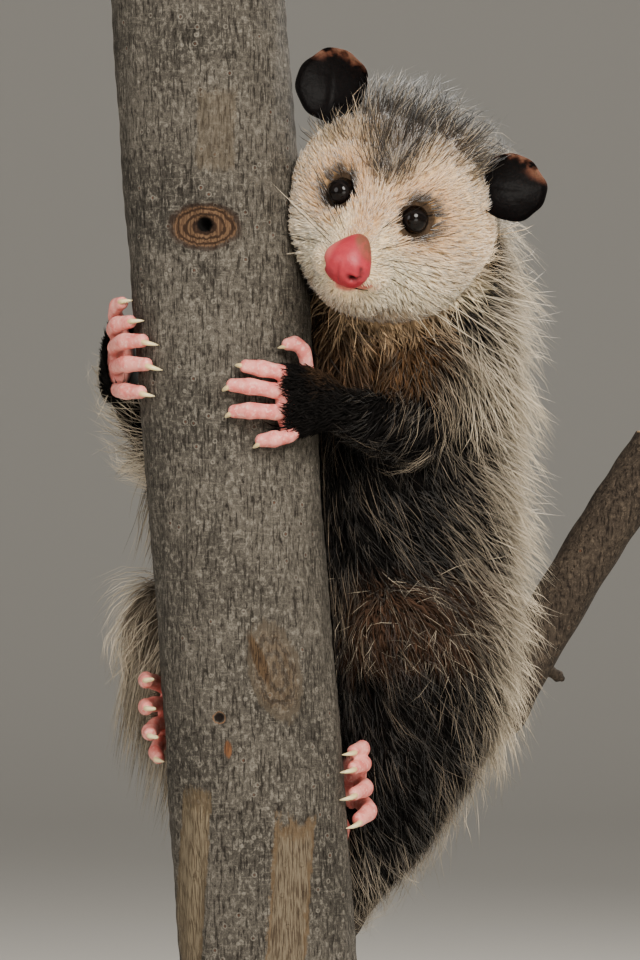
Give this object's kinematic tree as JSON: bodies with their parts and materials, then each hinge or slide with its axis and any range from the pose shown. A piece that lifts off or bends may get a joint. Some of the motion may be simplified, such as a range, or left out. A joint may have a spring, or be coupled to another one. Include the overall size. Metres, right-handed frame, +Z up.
{
  "type": "juvenile opossum clinging to a cut trunk on a display stand",
  "caption": "Life-size still model of a young Virginia opossum that clings to a cut length of trunk, held upright by a plain round base and short rods.",
  "frame": {"origin": "the middle of the underside of the stand's base", "axes": "+Z up along the trunk, +X to the animal's left side as the viewer sees it, the viewer on the -Y side"},
  "size_m": [0.2469, 0.2293, 0.502],
  "materials": {
    "coat": "long pale grey guard hair over black underfur",
    "face_fur": "short dense cream-white fur, grizzled grey on the crown",
    "dark_fur": "short dense brown-black fur",
    "nose_skin": "moist bare pink skin",
    "paw_skin": "bare pink skin with fine creases",
    "claw": "yellowish ivory horn",
    "ear_skin": "thin bare black skin with a pinkish rim",
    "tail_skin": "bare scaly skin, dark near the body and pale pink beyond",
    "eye": "wet black eye",
    "bark": "smooth grey bark with fine pale rings and dark flecks",
    "stand_base": "satin black",
    "stand_rod": "brushed steel rod"
  },
  "bodies": {
    "root": {"stand_base": "stand_base", "stand_rod_1": "stand_rod", "stand_rod_2": "stand_rod", "perch_trunk": "bark", "perch_limb": "bark", "head": "face_fur", "nose": "nose_skin", "left_eye": "eye", "right_eye": "eye", "left_ear": "ear_skin", "right_ear": "ear_skin", "neck": "coat", "torso": "coat", "left_upper_arm": "dark_fur", "left_forearm": "dark_fur", "left_hand": "paw_skin", "left_thigh": "coat", "left_shin": "dark_fur", "left_foot": "paw_skin", "right_upper_arm": "dark_fur", "right_forearm": "dark_fur", "right_hand": "paw_skin", "right_thigh": "coat", "right_shin": "dark_fur", "right_foot": "paw_skin", "tail_base": "dark_fur", "tail_upper": "tail_skin", "tail_middle": "tail_skin", "tail_lower": "tail_skin", "tail_tip": "tail_skin"}
  },
  "joints": []
}
